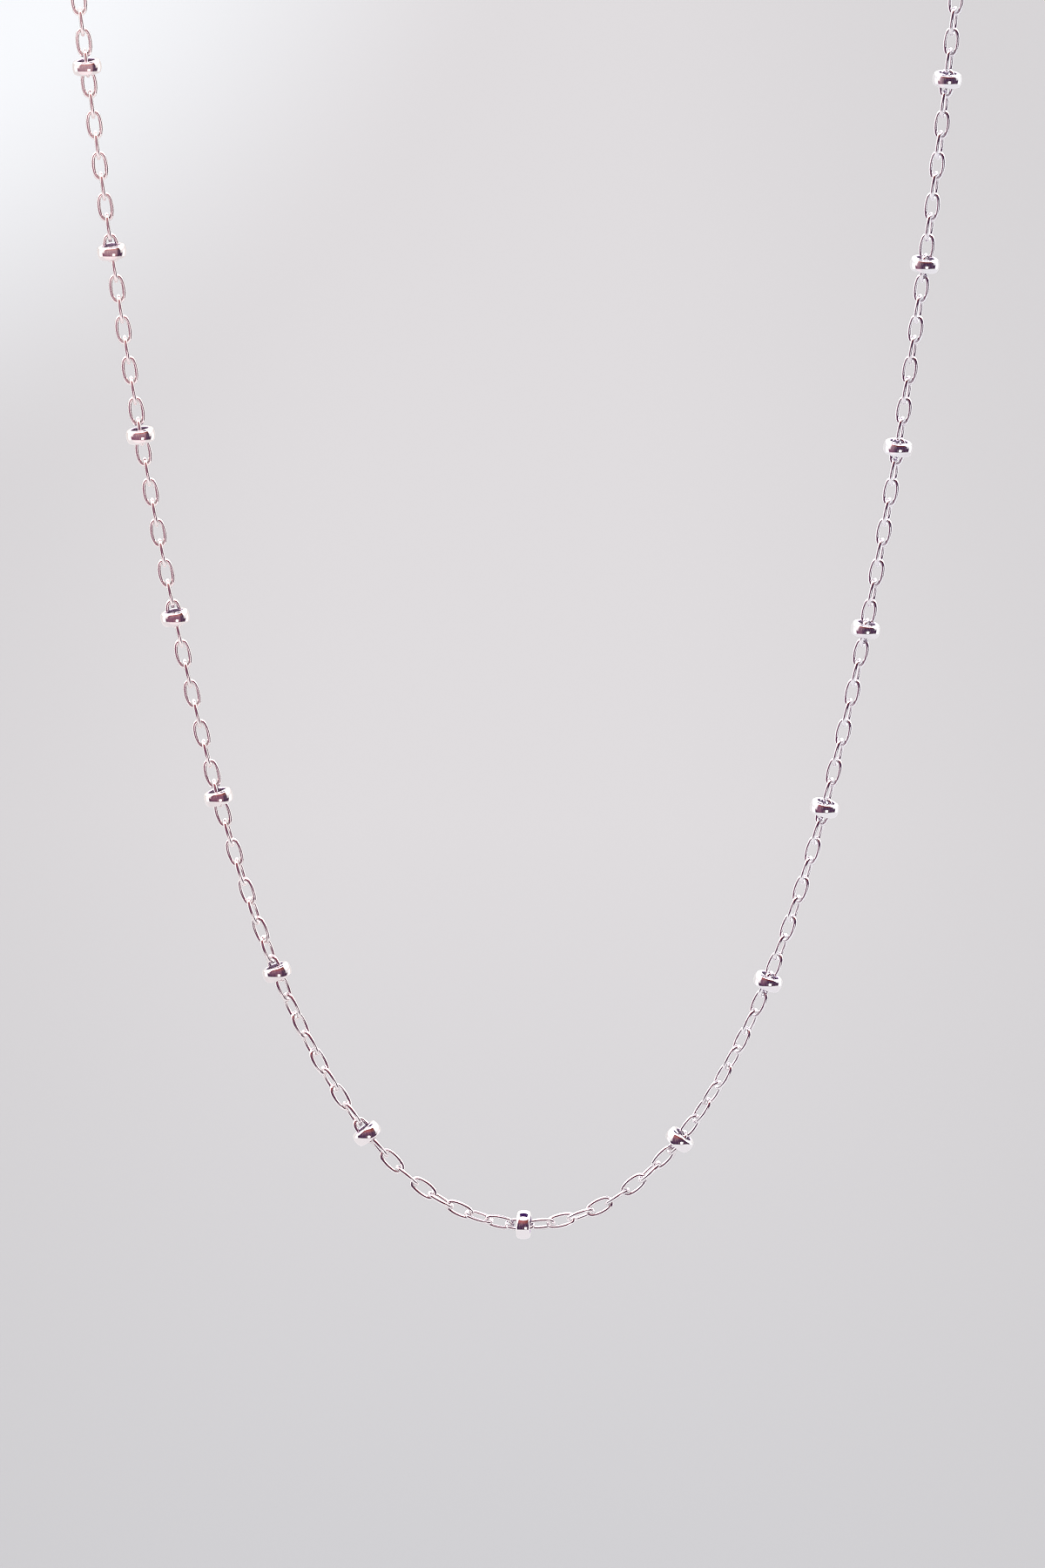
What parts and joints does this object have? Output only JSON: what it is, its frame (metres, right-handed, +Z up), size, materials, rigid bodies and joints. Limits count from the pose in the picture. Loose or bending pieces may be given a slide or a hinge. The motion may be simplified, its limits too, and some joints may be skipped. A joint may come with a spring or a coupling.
{
  "type": "station necklace",
  "caption": "Fine oval-link silver chain necklace with a small plain ring bead held on the chain at even steps, closed by a plain spring ring clasp, in one hanging loop.",
  "frame": {"origin": "the point under the closing ring at the crown of the loop, where the hanging necklace is held", "axes": "+Z up, against the hang; the whole loop lies in the XZ plane, +X towards the clasp's eye side, +Y away from the viewer"},
  "size_m": [0.0734, 0.0056, 0.193],
  "materials": {
    "bead_silver": "polished silver",
    "chain_silver": "polished silver",
    "clasp_silver": "polished silver"
  },
  "bodies": {
    "root": {"bead_01": "bead_silver", "bead_02": "bead_silver", "bead_03": "bead_silver", "bead_04": "bead_silver", "bead_05": "bead_silver", "bead_06": "bead_silver", "bead_07": "bead_silver", "bead_08": "bead_silver", "bead_09": "bead_silver", "bead_10": "bead_silver", "bead_11": "bead_silver", "bead_12": "bead_silver", "bead_13": "bead_silver", "bead_14": "bead_silver", "bead_15": "bead_silver", "bead_16": "bead_silver", "bead_17": "bead_silver", "bead_18": "bead_silver", "bead_19": "bead_silver", "bead_20": "bead_silver", "bead_21": "bead_silver", "bead_22": "bead_silver", "bead_23": "bead_silver", "bead_24": "bead_silver", "bead_25": "bead_silver", "bead_26": "bead_silver", "bead_27": "bead_silver", "bead_28": "bead_silver", "bead_29": "bead_silver", "bead_30": "bead_silver", "bead_31": "bead_silver", "bead_32": "bead_silver", "bead_33": "bead_silver", "front_chain_left": "chain_silver", "front_chain_right": "chain_silver", "back_chain_left": "chain_silver", "back_chain_right": "chain_silver", "end_ring": "clasp_silver", "clasp": "clasp_silver"}
  },
  "joints": []
}
